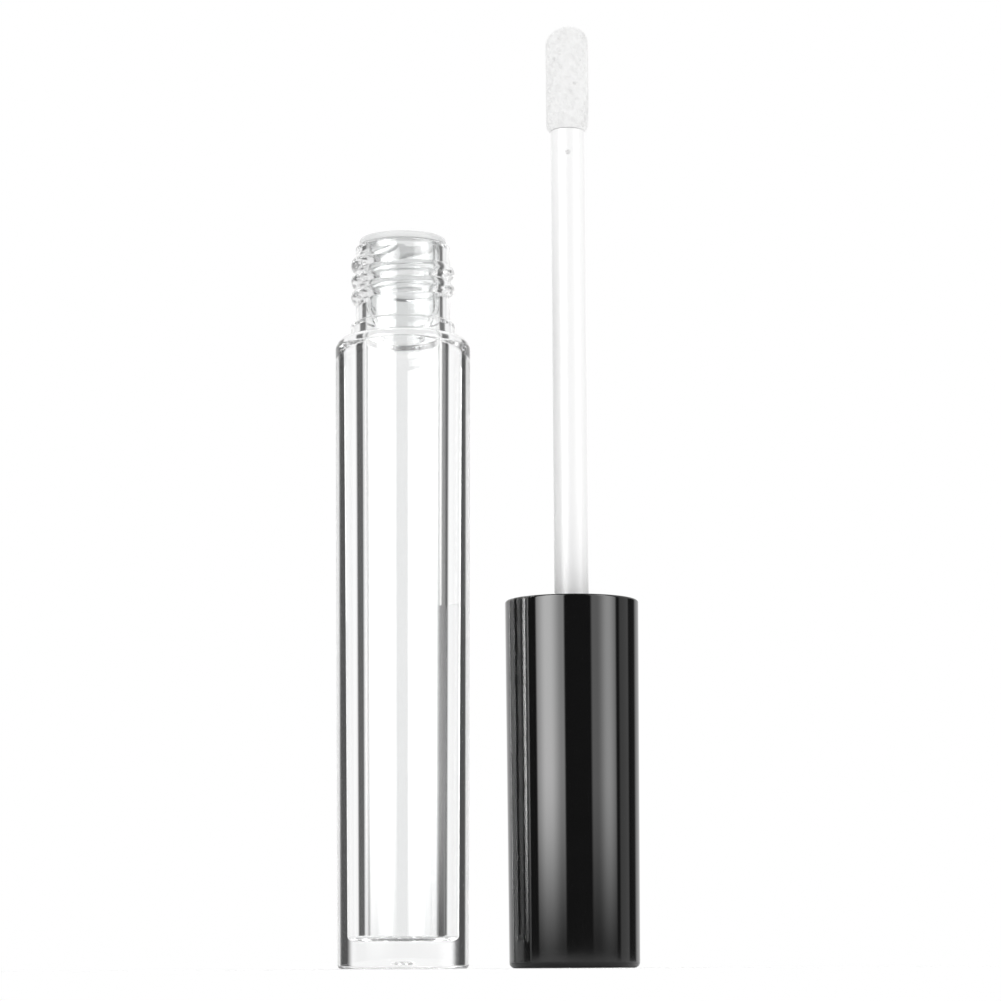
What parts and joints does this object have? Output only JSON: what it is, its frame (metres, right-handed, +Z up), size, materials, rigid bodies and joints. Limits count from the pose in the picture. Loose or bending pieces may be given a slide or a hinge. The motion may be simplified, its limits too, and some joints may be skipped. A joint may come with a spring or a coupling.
{
  "type": "lip gloss tube",
  "caption": "Clear round cosmetic tube with a screw neck and wiper, and its gloss cap standing upside down with a flock-tipped wand.",
  "frame": {"origin": "centre of the footprint of tube and standing cap, on the surface they stand on", "axes": "+Z up, along the tube's and the wand's axes; +X from the tube towards the cap; -Y towards the viewer"},
  "size_m": [0.0368, 0.0164, 0.116],
  "materials": {
    "clear_plastic": "clear, polished",
    "natural_pe": "natural milky polyethylene, satin",
    "black_gloss": "black, high gloss",
    "black_inner": "black, satin",
    "seal_foam": "white foamed liner",
    "white_rod": "white, smooth satin",
    "core_white": "white moulded plastic",
    "flock_white": "short dense flock fibre"
  },
  "bodies": {
    "tube": {"bottle": "clear_plastic", "wiper": "natural_pe"},
    "turned_cap": {"rod_plug": "core_white"},
    "lifted_cap": {"sealing_ring": "seal_foam"},
    "cap": {"outer_cap": "black_gloss", "inner_cap": "black_inner", "wand_rod": "white_rod", "tip_core": "core_white", "flocking": "flock_white"}
  },
  "joints": [
    {"name": "cap_turn_over", "type": "hinge", "parent": "tube", "child": "turned_cap", "pos_m": [0.00009, 0, 0.1035], "axis": [0, -1, 0], "range_deg": [0, 180]},
    {"name": "cap_insert", "type": "slide", "parent": "turned_cap", "child": "lifted_cap", "axis": [0, 0, 1], "range_m": [0, 0.0862]},
    {"name": "cap_twist", "type": "hinge", "parent": "lifted_cap", "child": "cap", "pos_m": [0.0103, 0, 0], "axis": [0, 0, 1], "range_deg": [0, 720]}
  ]
}
